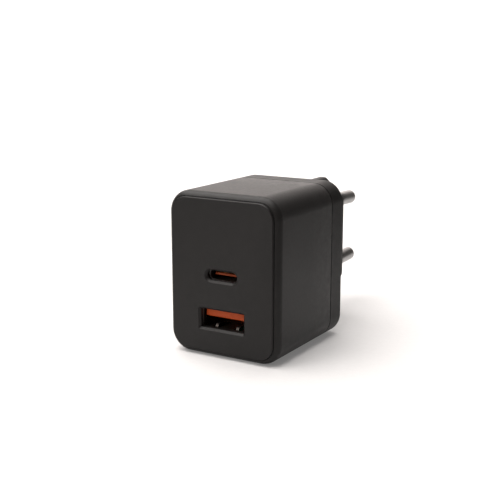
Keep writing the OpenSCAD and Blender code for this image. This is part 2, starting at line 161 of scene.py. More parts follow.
class Builder:
    """Collects rings and skins them into one mesh, with a per-vertex weight for edge polish and a painted edge
    highlight.
    """

    def __init__(self, name):
        self.name = name
        self.bm = bmesh.new()
        self.edge_polish_and_highlight = self.bm.verts.layers.float.new("edge_polish_and_highlight")

    def ring(self, pts2, z, cy=0.0, cx=0.0, edge_polish_and_highlight=0.0):
        vs = []
        for x, y in pts2:
            v = self.bm.verts.new(P(x + cx, y + cy, z))
            v[self.edge_polish_and_highlight] = edge_polish_and_highlight
            vs.append(v)
        return vs

    def ring3(self, pts3, edge_polish_and_highlight=0.0):
        vs = []
        for p in pts3:
            v = self.bm.verts.new(P(*p))
            v[self.edge_polish_and_highlight] = edge_polish_and_highlight
            vs.append(v)
        return vs

    def skin(self, rings, closed=False):
        n = len(rings[0])
        m = len(rings)
        for i in range(m if closed else m - 1):
            a, b = rings[i], rings[(i + 1) % m]
            for j in range(n):
                k = (j + 1) % n
                self.bm.faces.new((a[j], a[k], b[k], b[j]))

    def cap(self, ring):
        self.bm.faces.new(ring)

    def fill(self, loops):
        """A flat face between an outer loop and holes."""
        edges = []
        for vs in loops:
            for j in range(len(vs)):
                e = self.bm.edges.get((vs[j], vs[(j + 1) % len(vs)]))
                if e is None:
                    e = self.bm.edges.new((vs[j], vs[(j + 1) % len(vs)]))
                edges.append(e)
        bmesh.ops.triangle_fill(self.bm, use_beauty=True, use_dissolve=False, edges=edges)

    def box(self, w, h, z0, z1, cx=0.0, cy=0.0, r=0.1, seg=2):
        """A block with rounded edges."""
        m = bmesh.ops.create_cube(self.bm, size=1.0)
        vs = m["verts"]
        for v in vs:
            c = v.co.copy()
            v.co = P(cx + c.x * w, cy + c.y * h, (z0 + z1) / 2 + c.z * (z1 - z0))
        if r > 0:
            es = list({e for v in vs for e in v.link_edges})
            bmesh.ops.bevel(self.bm, geom=es, offset=r * MM, segments=seg, affect="EDGES", profile=0.5, clamp_overlap=True)

    def done(self, body="root", node=None, nodes=None, mat=None, smooth=35.0, weighted=True):
        bmesh.ops.remove_doubles(self.bm, verts=self.bm.verts, dist=1e-7)
        bmesh.ops.recalc_face_normals(self.bm, faces=self.bm.faces)
        me = bpy.data.meshes.new(self.name)
        self.bm.to_mesh(me)
        self.bm.free()
        ob = bpy.data.objects.new(self.name, me)
        scene.collection.objects.link(ob)
        me.polygons.foreach_set("use_smooth", [True] * len(me.polygons))
        me.set_sharp_from_angle(angle=math.radians(smooth))
        if weighted:
            m = ob.modifiers.new("normals", "WEIGHTED_NORMAL")
            m.keep_sharp = True
            m.weight = 80
        if mat:
            me.materials.append(mat)
        if nodes or node:
            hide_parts(*(nodes or [node]))
        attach(ob, body)
        return ob


def sweep(b, profile, w, h, r, cy=0.0, cx=0.0, closed=True, nc=14, nx=4, ny=5, edge_polish_and_highlight_on=1.0):
    """Sweeps (inset, z, flag) round a rounded rectangle; flag weights the edge polish and painted edge highlight."""
    rings = []
    for ins, z, flag in profile:
        pts = rrect(w - 2 * ins, h - 2 * ins, max(r - ins, 0.12), nc, nx, ny)
        rings.append(b.ring(pts, z, cy, cx, edge_polish_and_highlight=flag * edge_polish_and_highlight_on))
    b.skin(rings, closed)
    return rings


# ---------------------------------------------------------------------------
# Materials
# ---------------------------------------------------------------------------


class Mat:
    def __init__(self, name):
        self.m = bpy.data.materials.new(name)
        self.m.use_nodes = True
        self.nt = self.m.node_tree
        self.bsdf = next(n for n in self.nt.nodes if n.type == "BSDF_PRINCIPLED")
        self.coord = self.nt.nodes.new("ShaderNodeTexCoord")

    def node(self, kind, **vals):
        n = self.nt.nodes.new(kind)
        for k, v in vals.items():
            if k in n.inputs:
                n.inputs[k].default_value = v
            else:
                setattr(n, k, v)
        return n

    def link(self, a, b):
        self.nt.links.new(a, b)

    def noise(self, scale, detail=3.0, rough=0.55, stretch=None, distort=0.0):
        n = self.node("ShaderNodeTexNoise", Scale=scale, Detail=detail, Roughness=rough, Distortion=distort)
        if stretch:
            mp = self.node("ShaderNodeMapping")
            mp.inputs["Scale"].default_value = stretch
            self.link(self.coord.outputs["Object"], mp.inputs["Vector"])
            self.link(mp.outputs["Vector"], n.inputs["Vector"])
        else:
            self.link(self.coord.outputs["Object"], n.inputs["Vector"])
        return n.outputs["Fac"]

    def ramp(self, fac, lo, hi, a, b):
        """fac between lo and hi becomes a value between a and b."""
        n = self.node("ShaderNodeMapRange")
        n.inputs["From Min"].default_value = lo
        n.inputs["From Max"].default_value = hi
        n.inputs["To Min"].default_value = a
        n.inputs["To Max"].default_value = b
        self.link(fac, n.inputs["Value"])
        return n.outputs["Result"]

    def mix_color(self, fac, a, b):
        n = self.nt.nodes.new("ShaderNodeMix")
        n.data_type = "RGBA"
        n.inputs["A"].default_value = (*a, 1.0)
        n.inputs["B"].default_value = (*b, 1.0)
        self.link(fac, n.inputs["Factor"])
        return n.outputs["Result"]

    def mix_color_into(self, fac, a_socket, b):
        n = self.nt.nodes.new("ShaderNodeMix")
        n.data_type = "RGBA"
        n.inputs["B"].default_value = (*b, 1.0)
        self.link(fac, n.inputs["Factor"])
        self.link(a_socket, n.inputs["A"])
        return n.outputs["Result"]

    def add(self, a, b, op="ADD", clamp=False):
        n = self.nt.nodes.new("ShaderNodeMath")
        n.operation = op
        n.use_clamp = clamp
        for i, v in enumerate((a, b)):
            if isinstance(v, (int, float)):
                n.inputs[i].default_value = v
            else:
                self.link(v, n.inputs[i])
        return n.outputs["Value"]

    def bump(self, height, strength, distance, normal=None):
        n = self.node("ShaderNodeBump", Strength=strength, Distance=distance)
        self.link(height, n.inputs["Height"])
        if normal is not None:
            self.link(normal, n.inputs["Normal"])
        return n.outputs["Normal"]


def moulded(name, base, alt, rough=(0.40, 0.50), spec=0.5, grain=9000.0, grain_mm=0.004, edge_polish_and_highlight=None, blotch=70.0, ior=1.5):
    """Injection-moulded plastic: a spark-eroded grain, slow tone and gloss variation, and weighted edges made glossier
    and lighter in colour, the lighter colour being a painted highlight.
    """
    m = Mat(name)
    b = m.bsdf
    b.inputs["IOR"].default_value = ior
    b.inputs["Specular IOR Level"].default_value = spec
    slow = m.noise(blotch, 4.0, 0.6)
    fine = m.noise(grain, 2.0, 0.6)
    mid = m.noise(grain * 0.22, 2.0, 0.5)
    col = m.mix_color(m.ramp(slow, 0.35, 0.65, 0.0, 1.0), base, alt)
    fleck = m.ramp(fine, 0.55, 0.75, 0.0, 0.35)
    col = m.mix_color_into(fleck, col, tuple(c * 1.35 for c in alt))
    ro = m.ramp(slow, 0.3, 0.7, rough[0], rough[1])
    ro = m.add(ro, m.ramp(mid, 0.3, 0.7, -0.02, 0.02))
    if edge_polish_and_highlight:
        # painted highlight: the weighted edges, broken up by noise patches, are lightened in colour, and they are also
        # made less rough
        at = m.node("ShaderNodeAttribute", attribute_name="edge_polish_and_highlight")
        patch = m.ramp(m.noise(500.0, 5.0, 0.7), 0.40, 0.62, 0.0, 1.0)
        w = m.add(at.outputs["Fac"], patch, "MULTIPLY", True)
        col = m.mix_color_into(m.add(w, edge_polish_and_highlight[0], "MULTIPLY"), col, tuple(min(1.0, c * 1.9) for c in alt))
        ro = m.add(ro, m.add(w, -edge_polish_and_highlight[1], "MULTIPLY"))
    m.link(col, b.inputs["Base Color"])
    m.link(ro, b.inputs["Roughness"])
    h = m.add(fine, m.add(mid, 0.8, "MULTIPLY"))
    m.link(m.bump(h, 0.55, grain_mm * MM), b.inputs["Normal"])
    return m.m


def metal(name, base, alt, rough=(0.18, 0.30), scale=1500.0, stretch=(1, 1, 1), bump_mm=0.0008, dark=None):
    """Plated or rolled metal: fine directional marks, faint tarnish."""
    m = Mat(name)
    b = m.bsdf
    b.inputs["Metallic"].default_value = 1.0
    slow = m.noise(260.0, 4.0, 0.6)
    marks = m.noise(scale, 3.0, 0.65, stretch)
    col = m.mix_color(m.ramp(slow, 0.35, 0.68, 0.0, 1.0), base, alt)
    if dark:
        col = m.mix_color_into(m.ramp(m.noise(900.0, 5.0, 0.7), 0.56, 0.74, 0.0, 0.5), col, dark)
    m.link(col, b.inputs["Base Color"])
    m.link(m.ramp(marks, 0.3, 0.7, rough[0], rough[1]), b.inputs["Roughness"])
    m.link(m.bump(marks, 0.5, bump_mm * MM), b.inputs["Normal"])
    return m.m


def board_mask(name, base, alt):
    """Solder mask over copper: faint raised tracks and a glossy coat."""
    m = Mat(name)
    b = m.bsdf
    b.inputs["IOR"].default_value = 1.5
    tr = m.node("ShaderNodeTexBrick")
    tr.inputs["Scale"].default_value = 420.0
    tr.inputs["Mortar Size"].default_value = 0.035
    m.link(m.coord.outputs["Object"], tr.inputs["Vector"])
    col = m.mix_color(m.ramp(tr.outputs["Fac"], 0.0, 1.0, 0.0, 1.0), base, alt)
    col = m.mix_color_into(m.ramp(m.noise(900.0, 3.0, 0.6), 0.5, 0.8, 0.0, 0.4), col, tuple(c * 0.6 for c in base))
    m.link(col, b.inputs["Base Color"])
    m.link(m.ramp(m.noise(300.0, 3.0, 0.5), 0.3, 0.7, 0.28, 0.42), b.inputs["Roughness"])
    m.link(m.bump(tr.outputs["Fac"], 0.4, 0.03 * MM), b.inputs["Normal"])
    return m.m


CASE = moulded("case_plastic", (0.0092, 0.0084, 0.0080), (0.0112, 0.0102, 0.0098), rough=(0.445, 0.475), spec=0.20,
               grain=7000.0, grain_mm=0.0035, edge_polish_and_highlight=(0.25, 0.06))
COVER = moulded("cover_plastic", (0.0062, 0.0057, 0.0054), (0.0076, 0.0069, 0.0066), rough=(0.445, 0.475), spec=0.135,
               grain=7000.0, grain_mm=0.0035, edge_polish_and_highlight=(0.25, 0.06))
SLEEVE = moulded("sleeve_plastic", (0.020, 0.019, 0.019), (0.026, 0.025, 0.024), rough=(0.42, 0.52), grain=5000.0, grain_mm=0.002)
ORANGE = moulded("orange_nylon", (0.36, 0.054, 0.010), (0.41, 0.063, 0.012), rough=(0.45, 0.58), spec=0.18, grain=5000.0, grain_mm=0.003)
# a darker copy of the orange nylon: painted shade for the recessed upper port tongue
ORANGE_PAINTED_SHADE = moulded("orange_nylon_painted_shade", (0.29, 0.054, 0.016), (0.33, 0.062, 0.018), rough=(0.45, 0.58), spec=0.18, grain=5000.0, grain_mm=0.003)
BLACK = moulded("component_black", (0.018, 0.018, 0.019), (0.030, 0.030, 0.031), rough=(0.45, 0.62), grain=6000.0, grain_mm=0.006)
CARRIER = moulded("carrier_plastic", (0.58, 0.56, 0.50), (0.66, 0.63, 0.57), rough=(0.42, 0.56), grain=5000.0, grain_mm=0.003)
TAPE = moulded("tape", (0.62, 0.48, 0.04), (0.72, 0.58, 0.07), rough=(0.22, 0.34), grain=1800.0, grain_mm=0.004)
FILM = moulded("film", (0.70, 0.64, 0.38), (0.78, 0.72, 0.46), rough=(0.20, 0.32), grain=1500.0, grain_mm=0.002)
FERRITE = moulded("ferrite", (0.050, 0.050, 0.056), (0.075, 0.075, 0.082), rough=(0.55, 0.72), grain=3800.0, grain_mm=0.010)
CAN_SLEEVE = moulded("can_sleeve", (0.012, 0.022, 0.075), (0.020, 0.034, 0.100), rough=(0.24, 0.36), grain=2500.0, grain_mm=0.003)
FILTER = moulded("filter_case", (0.66, 0.46, 0.04), (0.76, 0.55, 0.07), rough=(0.32, 0.46), grain=4200.0, grain_mm=0.004)
DISC = moulded("disc_epoxy", (0.025, 0.13, 0.36), (0.040, 0.17, 0.45), rough=(0.24, 0.38), grain=1300.0, grain_mm=0.012)
GREEN = moulded("choke_coat", (0.030, 0.12, 0.055), (0.045, 0.16, 0.075), rough=(0.38, 0.52), grain=2600.0, grain_mm=0.006)
BROWN = moulded("fuse_sleeve", (0.24, 0.12, 0.035), (0.32, 0.17, 0.055), rough=(0.32, 0.48), grain=2600.0, grain_mm=0.004)
GREY = moulded("inductor_powder", (0.10, 0.10, 0.105), (0.15, 0.15, 0.155), rough=(0.55, 0.70), grain=3200.0, grain_mm=0.012)
PAD = moulded("silicone_pad", (0.28, 0.36, 0.46), (0.34, 0.42, 0.53), rough=(0.60, 0.75), grain=1400.0, grain_mm=0.010)
NICKEL = metal("nickel_pin", (0.275, 0.271, 0.267), (0.325, 0.320, 0.315), rough=(0.28, 0.38), scale=900.0, stretch=(1, 0.1, 1), dark=(0.155, 0.148, 0.14))
# the lower port's nickel, darkened: painted shade for its deep cavity, so its walls, fingers and front edge stay dark
SHELL_PAINTED_SHADE = metal("nickel_shell_painted_shade", (0.068, 0.059, 0.054), (0.092, 0.081, 0.075), rough=(0.42, 0.52), scale=1400.0, stretch=(1, 0.12, 1), dark=(0.04, 0.037, 0.034))
RIM = metal("upper_port_steel", (0.20, 0.19, 0.18), (0.25, 0.24, 0.23), rough=(0.30, 0.42), scale=1400.0, stretch=(1, 0.12, 1), dark=(0.12, 0.115, 0.11))
GOLD = metal("gold_contact", (0.86, 0.62, 0.25), (0.92, 0.70, 0.33), rough=(0.16, 0.26), scale=2200.0, stretch=(1, 0.2, 1))
COPPER = metal("copper", (0.72, 0.36, 0.19), (0.80, 0.44, 0.26), rough=(0.24, 0.40), scale=1600.0, stretch=(1, 0.2, 1), dark=(0.38, 0.18, 0.10))
ALU = metal("drawn_aluminium", (0.76, 0.77, 0.78), (0.82, 0.83, 0.84), rough=(0.26, 0.40), scale=1200.0, stretch=(1, 0.1, 1))
BOARD = board_mask("solder_mask", (0.010, 0.085, 0.038), (0.018, 0.13, 0.06))

# ---------------------------------------------------------------------------
# Casings
# ---------------------------------------------------------------------------


def make_housing():
    b = Builder("housing")
    z_full = Z_CREST + FRONT_R - math.sqrt(FRONT_R ** 2 - (FRONT_R - CREST_IN) ** 2)
    zc = z_full - FRONT_R
    a_end = math.degrees(math.acos((FRONT_R - CREST_IN) / FRONT_R))
    prof = round_path([(0.55, Z_HOUSE), (0.0, Z_HOUSE), (0.0, zc - 12.0)], [0, 0.13, 0], False, 4)
    prof += [(0.0, zc - 6.0, 0.0), (0.0, zc - 2.0, 0.0)]
    n = 22
    for k in range(n + 1):
        t = math.radians(a_end * k / n)
        prof.append((FRONT_R * (1 - math.cos(t)), zc + FRONT_R * math.sin(t), 1.0 if k > n - 4 else 0.35 * k / n))
    # crest, then down into the pocket
    crest = prof.pop()
    tail = round_path([prof[-1][:2], (crest[0], crest[1]), (CREST_IN, Z_LEDGE), (2.6, Z_LEDGE), (2.6, Z_LEDGE - 1.3),
                       (WALL, Z_LEDGE - 1.3), (WALL, Z_HOUSE), (0.55, Z_HOUSE)],
                      [0, 0.07, 0.05, 0.08, 0.05, 0.2, 0.1, 0], False, 4)
    prof += tail[1:-1]
    sweep(b, prof, BODY_W, BODY_H, CORNER_R, MID_Y, closed=True, nc=20, nx=6, ny=8)
    # ribs that the port board stops against
    z0 = bench_box("port_board")[1][2]
    for s in (-1, 1):
        for y in (MID_Y - 11, MID_Y + 11):
            b.box(1.3, 1.2, z0, Z_LEDGE - 1.25, s * (BODY_W / 2 - WALL - 0.55), y, 0.12, 2)
    return b.done(node="main_housing", mat=CASE, smooth=32)


def make_panel():
    b = Builder("port_plate")
    w, h = BODY_W, BODY_H
    micro = 0.10
    edge = round_path([(PLATE_IN + 3.0, Z_FRONT), (PLATE_IN + 0.15, Z_FRONT), (PLATE_IN, Z_FRONT - BEVEL), (PLATE_IN, Z_LEDGE),
                       (2.75, Z_LEDGE), (2.75, Z_LEDGE - 1.2), (3.6, Z_LEDGE - 1.2), (3.6, Z_LEDGE)],
                      [0, 0.10, 0.10, 0.08, 0.0, 0.1, 0.1, 0.0], False, 4)
    edge = [(a, c, f * 0.25) for a, c, f in edge]
    edge[0] = (edge[1][0] + 0.002, Z_FRONT, 0.0)
    rings = sweep(b, edge, w, h, CORNER_R, MID_Y, closed=False, nc=20, nx=6, ny=8)
    outer, inner = rings[0], rings[-1]
    fronts, backs = [], []
    for (ow, oh), r, cy, nc in ((A_OPEN, 0.65, A_Y, 8), (C_OPEN, C_OPEN[1] / 2 - 0.05, C_Y, 16)):
        prof = round_path([(-1.0, Z_FRONT), (0.0, Z_FRONT), (PORT_BEVEL, Z_FRONT - PORT_BEVEL), (PORT_BEVEL, Z_LEDGE), (-1.0, Z_LEDGE)],
                          [0, 0.10, 0.10, 0.05, 0], False, 4)
        prof = prof[1:-1]
        rr = []
        for ins, z, fl in prof:
            rr.append(b.ring(rrect(ow - 2 * ins, oh - 2 * ins, max(r - ins, 0.1), nc, 6, 4), z, cy, 0.0, edge_polish_and_highlight=0.5 * fl))
        b.skin(rr)
        fronts.append(rr[0])
        backs.append(rr[-1])
    b.fill([outer] + fronts)
    b.fill([inner] + backs)
    return b.done(node="front_panel", mat=CASE, smooth=32)


def make_rear():
    b = Builder("rear_cover_and_stalk")
    zt = Z_SEAM - 0.1                       # outer edge at the seam
    n = 12
    # outer skin, from the back face out and forward, over the lip and spigot, and down inside
    prof = [(REAR_R + 0.6, Z_BACK, 0.0)]
    for k in range(n + 1):
        t = math.radians(90 - 90 * k / n)
        prof.append((REAR_R * (1 - math.cos(t)), Z_BACK + REAR_R * (1 - math.sin(t)), 0.5))
    prof += [(0.0, Z_BACK + 3.0, 0.0)]
    prof += round_path([(0.0, Z_BACK + 4.0), (0.0, zt), (0.72, zt), (0.72, Z_SEAM + 0.1), (WALL + 0.1, Z_SEAM + 0.1),
                        (WALL + 0.1, Z_SPIGOT), (WALL + 1.0, Z_SPIGOT), (WALL + 1.0, Z_BACK + 1.8), (WALL + 1.8, Z_BACK + 1.8)],
                       [0, 0.13, 0.0, 0.0, 0.05, 0.25, 0.1, 0.3, 0], False, 4)
    rings = sweep(b, prof, BODY_W, BODY_H, CORNER_R, MID_Y, closed=False, nc=20, nx=6, ny=8)
    # stalk, outside: a small fillet at its root and a rounded edge at the engagement face
    fr, er = 0.45, 0.35
    zs = []
    for k in range(6):
        t = math.radians(90 * k / 5)
        zs.append((-(fr - fr * math.sin(t)), Z_BACK - fr * (1 - math.cos(t)), 0.0))
    zs += [(0.0, Z_BACK - fr - 4.0 - 4.5 * k, 0.0) for k in range(3)]
    for k in range(6):
        t = math.radians(90 * k / 5)
        zs.append((er * (1 - math.cos(t)), er * (1 - math.sin(t)), 0.8))
    out = [b.ring(stalk_ring(d), z, edge_polish_and_highlight=f) for d, z, f in zs]
    b.skin(out)
    b.fill([rings[0], out[0]])
    # stalk, inside
    ins = [b.ring(stalk_ring(d), z) for d, z in ((1.5, Z_BACK + 1.8), (1.5, Z_BACK - 5), (1.5, 8.0), (1.5, 2.5), (1.6, 2.2))]
    b.skin(ins)
    b.fill([rings[-1], ins[0]])
    # end wall with the pins' bores
    holes_out, holes_in = [], []
    for s in (1, -1):
        seq = []
        for r, z, f in ((1.95, 0.0, 0.6), (1.90, 0.03, 0.6), (1.87, 0.10, 0.3), (1.87, 1.2, 0.0), (1.5, 1.2, 0.0), (1.5, 2.2, 0.0)):
            cy = s * (PIN_PITCH / 2 + z * math.tan(TILT))
            seq.append(b.ring([(r * math.cos(2 * math.pi * i / 40), r * math.sin(2 * math.pi * i / 40)) for i in range(40)], z, cy, 0, f))
        b.skin(seq)
        holes_out.append(seq[0])
        holes_in.append(seq[-1])
    b.fill([out[-1]] + holes_out)
    b.fill([ins[-1]] + holes_in)
    return b.done(node="rear_cover", mat=COVER, smooth=32)


# ---------------------------------------------------------------------------
# Plug
# ---------------------------------------------------------------------------


def lathe(name, path, seg, node, mat, s, closed=False, smooth=35.0):
    """Turns (radius, z) points round a pin's leaning axis; z runs back into the stalk."""
    b = Builder(name)
    c, sn = math.cos(TILT), math.sin(TILT)
    rings = []
    for r, z, f in path:
        pts = []
        for i in range(seg):
            a = 2 * math.pi * i / seg
            x, y = r * math.cos(a), r * math.sin(a)
            # rotate about X by -s * TILT, then move to the pin
            yy = y * c + s * z * sn
            zz = -s * y * sn + z * c
            pts.append((x, yy + s * PIN_PITCH / 2, zz))
        rings.append(b.ring3(pts, f))
    b.skin(rings, closed)
    if not closed:
        b.cap(rings[0])
        b.cap(rings[-1])
    return b.done(node=node, mat=mat, smooth=smooth)


def make_pins():
    r, tip = 2.0, 1.4
    for s, who in ((1, "live"), (-1, "neutral")):
        path = []
        for k in range(13):
            t = math.radians(90 * k / 12)
            path.append((r - tip + tip * math.sin(t), -19.0 + tip * (1 - math.cos(t)), 1.0 if k > 6 else 0.4))
        path += [(r, -16.0, 0.0), (r, -14.0, 0.0), (r, -12.0, 0.0)]
        path += round_path([(r, -11.0), (r, -10.0), (1.5, -10.0), (1.5, -5.0)], [0, 0.12, 0.02, 0], False, 4)[1:]
        path += [(1.5, 0.0, 0), (1.5, 6.4, 0)]
        path += round_path([(1.5, 6.4), (2.3, 6.4), (2.3, 7.2), (0.6, 7.2)], [0, 0.1, 0.1, 0], False, 3)[1:]
        lathe(who + "_pin_blade", path, 56, who + "_pin", NICKEL, s)
        ro, ri = 1.8, 1.5
        ring = round_path([(ro, 1.2), (ro, -10.0), (ri, -10.0), (ri, 1.2)], [0.05, 0.14, 0.02, 0.02], True, 4)
        lathe(who + "_sleeve", [(a, z, f) for a, z, f in ring], 56, who + "_pin_sleeve", SLEEVE, s, closed=True)


# ---------------------------------------------------------------------------
# Ports
# ---------------------------------------------------------------------------


def finger(b, cx, side, z_tip, length, w=0.9, t=0.22, y0=0.0, lift=0.80):
    """A spring finger: a strip rooted in the shell wall that bends in, then flares out at its tip."""
    n = 22
    rings = []
    for i in range(n + 1):
        u = i / n
        z = z_tip - length * (1 - u)
        # profile: rises smoothly to a crown near the tip, then falls away
        if u < 0.86:
            q = u / 0.86
            hgt = lift * (3 * q * q - 2 * q * q * q)
        else:
            q = (u - 0.86) / 0.14
            hgt = lift - lift * 0.95 * q ** 1.6
        ww = w * (1.0 - 0.18 * max(0.0, (u - 0.8) / 0.2))
        yb = y0 + side * hgt
        pts = [(cx - ww / 2, yb, z), (cx + ww / 2, yb, z), (cx + ww / 2, yb - side * t, z), (cx - ww / 2, yb - side * t, z)]
        rings.append(b.ring3(pts))
    b.skin(rings)
    b.cap(rings[0])
    b.cap(rings[-1])


def make_usb_a():
    zf, zb = A_HI[2], A_LO[2] + 1.6
    zb = bench_box("port_board")[1][2]
    iw, ih, t = 12.5, 5.12, 0.3
    b = Builder("lower_port_shell")
    prof = round_path([(0.0, zf), (t, zf), (t, zb), (0.0, zb)], [0.10, 0.13, 0.05, 0.05], True, 4)
    rings = []
    for ins, z, f in prof:
        rings.append(b.ring(rrect(iw + 2 * t - 2 * ins, ih + 2 * t - 2 * ins, max(0.65 - ins, 0.2), 6, 8, 4), z, A_Y, 0.0, f))
    b.skin(rings, True)
    ob = b.done(node="usb_a_shell", mat=SHELL_PAINTED_SHADE, smooth=35)
    # windows that the fingers are cut from
    cut = Builder("cutter")
    for x in (-3.0, 3.0):
        for s in (-1, 1):
            cut.box(2.0, 1.2, zf - 6.6, zf - 0.9, x, A_Y + s * (ih / 2 + t / 2), 0.0)
    for s in (-1, 1):
        cut.box(1.2, 1.8, zf - 6.2, zf - 1.6, s * (iw / 2 + t / 2), A_Y, 0.0)
    bmesh.ops.recalc_face_normals(cut.bm, faces=cut.bm.faces)
    cme = bpy.data.meshes.new("cutter")
    cut.bm.to_mesh(cme)
    cut.bm.free()
    cob = bpy.data.objects.new("cutter", cme)
    scene.collection.objects.link(cob)
    wn = ob.modifiers["normals"]
    ob.modifiers.remove(wn)
    mod = ob.modifiers.new("cut", "BOOLEAN")
    mod.object = cob
    mod.operation = "DIFFERENCE"
    mod.solver = "EXACT"
    dg = bpy.context.evaluated_depsgraph_get()
    new = bpy.data.meshes.new_from_object(ob.evaluated_get(dg))
    ob.modifiers.clear()
    old = ob.data
    ob.data = new
    bpy.data.meshes.remove(old)
    bpy.data.objects.remove(cob)
    # fingers and legs are added to the same piece
    b2 = bmesh.new()
    b2.from_mesh(ob.data)
    fb = Builder("tmp")
    for x in (-3.0, 3.0):
        finger(fb, x, 1, zf - 0.92, 5.6, y0=A_Y - ih / 2 + 0.02)
        finger(fb, x, -1, zf - 0.92, 5.6, y0=A_Y + ih / 2 - 0.02, lift=0.35)
    zp = bench_box("port_board")[0][2]
    for x in (-1, 1):
        for y in (-1, 1):
            fb.box(0.28, 0.9, zp - 0.4, zb + 0.15, x * (iw / 2 + 0.15), A_Y + y * 1.6, 0.05, 2)
    bmesh.ops.recalc_face_normals(fb.bm, faces=fb.bm.faces)
    tm = bpy.data.meshes.new("tmp")
    fb.bm.to_mesh(tm)
    fb.bm.free()
    b2.from_mesh(tm)
    bpy.data.meshes.remove(tm)
    b2.to_mesh(ob.data)
    b2.free()
    me = ob.data
    me.polygons.foreach_set("use_smooth", [True] * len(me.polygons))
    me.set_sharp_from_angle(angle=math.radians(35))
    me.materials.clear()
    me.materials.append(SHELL_PAINTED_SHADE)
    m = ob.modifiers.new("normals", "WEIGHTED_NORMAL")
    m.keep_sharp = True

    # orange tongue and base
    b = Builder("lower_port_tongue")
    b.box(iw - 0.8, ih - 0.1, zb, zb + 2.4, 0, A_Y, 0.15, 2)
    z1 = zf - 0.7
    ty = A_Y + 1.0
    prof = [(0.0, zb + 2.0, 0), (0.0, zb + 6, 0)] + round_path([(0.0, zb + 7), (0.0, z1 - 0.22), (0.20, z1), (0.75, z1)], [0, 0.12, 0.12, 0], False, 4)[1:]
    rr = []
    for i_, z, f in prof:
        rr.append(b.ring(rrect(11.9 - 2 * i_, 1.85 - 2 * i_, max(0.3 - i_ * 0.2, 0.1), 5, 8, 3), z, ty, 0.0, f))
    b.skin(rr)
    b.cap(rr[0])
    b.cap(rr[-1])
    b.done(node="usb_a_insulator", mat=ORANGE, smooth=35)
    # contacts under the tongue
    b = Builder("lower_port_contacts")
    for x in (-3.5, -1.0, 1.0, 3.5):
        n = 14
        rings = []
        for i in range(n + 1):
            u = i / n
            z = zb + 2.45 + (zf - 1.5 - zb - 2.45) * u
            hump = 0.22 * math.exp(-((u - 0.78) / 0.10) ** 2)
            yb = A_Y + 0.06 - hump
            rings.append(b.ring3([(x - 0.5, yb + 0.14, z), (x + 0.5, yb + 0.14, z), (x + 0.5, yb, z), (x - 0.5, yb, z)]))
        b.skin(rings)
        b.cap(rings[0])
        b.cap(rings[-1])
    b.done(node="usb_a_contacts", mat=GOLD, smooth=35)


def make_usb_c():
    zf = C_HI[2]
    zb = bench_box("port_board")[1][2]
    iw, ih, t = 8.34, 2.56, 0.3
    b = Builder("upper_port_shell")
    prof = round_path([(0.0, zf), (t, zf), (t, zb), (0.0, zb)], [0.14, 0.14, 0.05, 0.05], True, 5)
    rings = []
    for ins, z, f in prof:
        h = ih + 2 * t - 2 * ins
        rings.append(b.ring(rrect(iw + 2 * t - 2 * ins, h, h / 2 - 0.005, 16, 8, 1), z, C_Y, 0.0, f))
    b.skin(rings, True)
    zp = bench_box("port_board")[0][2]
    for x in (-1, 1):
        for y in (-1, 1):
            b.box(1.0, 0.28, zp - 0.4, zb + 0.15, x * 3.0, C_Y + y * (ih / 2 + 0.15), 0.05, 2)
    b.done(node="usb_c_shell", mat=RIM, smooth=35)
    b = Builder("upper_port_tongue")
    b.box(6.6, ih - 0.1, zb, zb + 3.2, 0, C_Y, 0.15, 2)
    z1 = zf - 1.0
    prof = [(0.0, zb + 3.0, 0), (0.0, zb + 5, 0)] + round_path([(0.0, zb + 6), (0.0, z1 - 0.35), (0.12, z1), (0.3, z1)], [0, 0.2, 0.08, 0], False, 4)[1:]
    rr = []
    for i_, z, f in prof:
        rr.append(b.ring(rrect(6.69 - 2 * i_, 0.7 - 2 * i_, 0.12, 5, 8, 1), z, C_Y, 0.0, f))
    b.skin(rr)
    b.cap(rr[0])
    b.cap(rr[-1])
    # the darker orange copy paints the shade of the recess
    b.done(node="usb_c_insulator", mat=ORANGE_PAINTED_SHADE, smooth=35)
    b = Builder("upper_port_contacts")
    for i in range(12):
        for s in (-1, 1):
            b.box(0.25, 0.06, zb + 3.3, zf - 1.5, (i - 5.5) * 0.5, C_Y + s * 0.36, 0.015, 1)
    b.done(node="usb_c_contacts", mat=GOLD, smooth=35)


make_housing()
make_panel()
make_rear()
make_pins()
make_usb_a()
make_usb_c()

# ---------------------------------------------------------------------------
# Inner pieces keep their CAD shape and get a finish of their own
# ---------------------------------------------------------------------------

FINISH = {
    "pin_carrier": CARRIER, "live_contact_strip": COPPER, "neutral_contact_strip": COPPER,
    "port_board": BOARD, "main_board": BOARD, "port_controller": BLACK, "port_inductor": GREY, "port_capacitor": ALU,
    "board_header_pins": GOLD, "board_header_body": BLACK, "insulating_sheet": FILM,
    "transformer_core": FERRITE, "transformer_bobbin": BLACK, "transformer_winding": TAPE,
    "bulk_capacitors": CAN_SLEEVE, "output_capacitors": ALU, "filter_capacitor": FILTER, "safety_capacitor": DISC,
    "choke_core": GREEN, "choke_winding": COPPER, "fuse": BROWN, "bridge_rectifier": BLACK,
    "primary_controller": BLACK, "sync_rectifier": BLACK, "optocoupler": BLACK,
    "heat_spreader": ALU, "thermal_pad": PAD,
}
for n, m in FINISH.items():
    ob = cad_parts[n]
    ob.data.materials.clear()
    ob.data.materials.append(m)

# ---------------------------------------------------------------------------
# Floor, backdrop, light and camera
# ---------------------------------------------------------------------------

AZ = math.radians(31.116)
PITCH = math.radians(12.34)
CAM = P(119.712, 75.603 + H_LO[1], 0.0) + Vector((0, (-184.69) * MM - Z_FRONT * MM, 0))
FWD = Vector((-math.sin(AZ) * math.cos(PITCH), math.cos(AZ) * math.cos(PITCH), -math.sin(PITCH)))
RIGHT = Vector((math.cos(AZ), math.sin(AZ), 0.0))
AHEAD = Vector((-math.sin(AZ), math.cos(AZ), 0.0))
FLOOR_Z = H_LO[1] * MM


